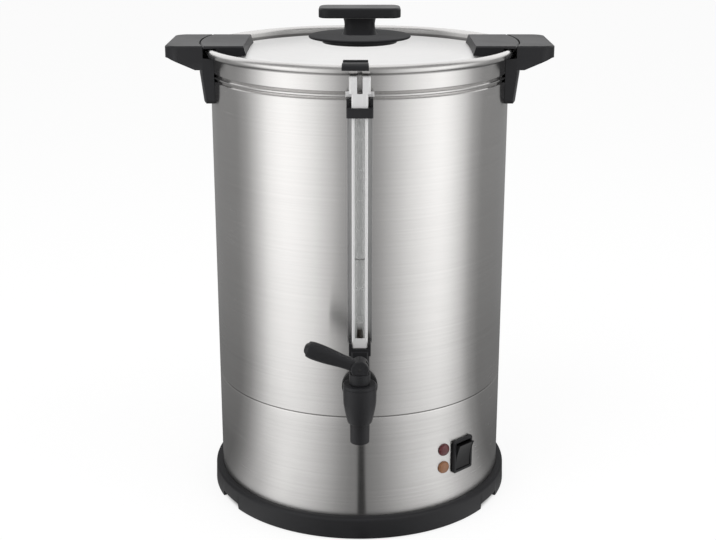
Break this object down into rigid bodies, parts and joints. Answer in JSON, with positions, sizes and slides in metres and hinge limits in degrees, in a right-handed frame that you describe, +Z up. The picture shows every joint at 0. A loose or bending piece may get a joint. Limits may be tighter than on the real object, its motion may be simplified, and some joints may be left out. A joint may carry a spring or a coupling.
{
  "type": "coffee urn",
  "caption": "Tall steel coffee percolator urn with a sight gauge, a lever tap, side handles, a lift-off lid with a T-shaped knob, a rocker switch and indicator lamps on its base.",
  "frame": {"origin": "on the floor under the urn's axis", "axes": "+Z up along the urn's axis, -Y the front with the tap and gauge, +X to the right seen from the front"},
  "size_m": [0.344, 0.336, 0.459],
  "materials": {
    "black_plastic": "fine moulded satin black",
    "gloss_black": "smooth gloss black",
    "ivory_plastic": "plain ivory",
    "brushed_steel": "stainless steel brushed around the body",
    "polished_steel": "stainless steel polished to a soft mirror",
    "bright_steel": "bright stainless steel",
    "plain_steel": "plain rolled steel",
    "screw_steel": "plated steel",
    "spring_steel": "drawn stainless wire",
    "percolator_steel": "satin stainless steel",
    "heater_aluminium": "as cast",
    "rubber": "plain black rubber",
    "silicone": "translucent white silicone",
    "gauge_glass": "clear glass tube",
    "red_lens": "dark red lens, unlit",
    "amber_lens": "amber lens, unlit"
  },
  "bodies": {
    "urn": {"base_ring": "black_plastic", "base_plate": "plain_steel", "base_screws": "screw_steel", "rubber_feet": "rubber", "skirt": "brushed_steel", "tank": "brushed_steel", "handle_right": "black_plastic", "handle_left": "black_plastic", "handle_screws": "screw_steel", "handle_backings": "plain_steel", "lid_catches": "plain_steel", "gauge_holder": "black_plastic", "gauge_tube": "gauge_glass", "gauge_seals": "rubber", "gauge_guard": "bright_steel", "gauge_clip": "black_plastic", "gauge_back": "bright_steel", "tap_body": "black_plastic", "tap_bonnet": "black_plastic", "tap_washers": "rubber", "tap_nut": "screw_steel", "switch_housing": "black_plastic", "cord_gland": "black_plastic", "heater_plate": "heater_aluminium", "heating_element": "plain_steel", "thermostat": "heater_aluminium", "boil_dry_cutout": "heater_aluminium", "tie_rods": "screw_steel", "terminal_block": "ivory_plastic", "lamp_red": "red_lens", "lamp_amber": "amber_lens"},
    "gasket": {"lid_gasket": "silicone"},
    "lid": {"lid": "polished_steel", "lid_tongues": "plain_steel", "lid_ear_right": "black_plastic", "lid_ear_left": "black_plastic", "ear_screws": "screw_steel", "lid_tab": "black_plastic", "knob_seat": "black_plastic", "knob_shield": "black_plastic", "knob_grip": "black_plastic", "knob_screw": "screw_steel"},
    "tap_collar": {"tap_hub": "black_plastic"},
    "valve": {"tap_stem": "screw_steel", "tap_seat_cup": "silicone", "tap_spring": "spring_steel", "tap_pin": "screw_steel"},
    "lever": {"tap_lever": "black_plastic"},
    "rocker": {"switch_rocker": "gloss_black"},
    "pump": {"pump_tube": "percolator_steel"},
    "basket": {"coffee_basket": "percolator_steel"},
    "cover": {"basket_cover": "percolator_steel"}
  },
  "joints": [
    {"name": "lid_lift", "type": "slide", "parent": "urn", "child": "gasket", "axis": [0, 0, 1], "range_m": [0, 0.15]},
    {"name": "lid_turn", "type": "hinge", "parent": "gasket", "child": "lid", "pos_m": [0, 0, 0.4273], "axis": [0, 0, 1], "range_deg": [-15, 0]},
    {"name": "tap_swivel", "type": "hinge", "parent": "urn", "child": "tap_collar", "pos_m": [0, -0.18, 0.175], "axis": [0, 0, 1], "range_deg": [0, 180]},
    {"name": "valve_lift", "type": "slide", "parent": "tap_collar", "child": "valve", "axis": [0, 0, 1], "range_m": [0, 0.0024], "deforming": ["tap_spring"]},
    {"name": "lever_tilt", "type": "hinge", "parent": "valve", "child": "lever", "pos_m": [0, -0.18, 0.1815], "axis": [0, -1, 0], "range_deg": [0, 25], "stiffness_Nm_per_rad": 0.6, "springref_deg": -5.73},
    {"name": "rocker_press", "type": "hinge", "parent": "urn", "child": "rocker", "pos_m": [0.0931, -0.09776, 0.0648], "axis": [0.7242, 0.6896, 0], "range_deg": [0, 20]},
    {"name": "pump_lift", "type": "slide", "parent": "urn", "child": "pump", "axis": [0, 0, 1], "range_m": [0, 0.008]},
    {"name": "basket_lift", "type": "slide", "parent": "pump", "child": "basket", "axis": [0, 0, 1], "range_m": [0, 0.012]},
    {"name": "cover_lift", "type": "slide", "parent": "basket", "child": "cover", "axis": [0, 0, 1], "range_m": [0, 0.012]}
  ],
  "couplings": [
    {"joint": "valve_lift", "follows": "lever_tilt", "m_per_rad": 0.0055004}
  ]
}
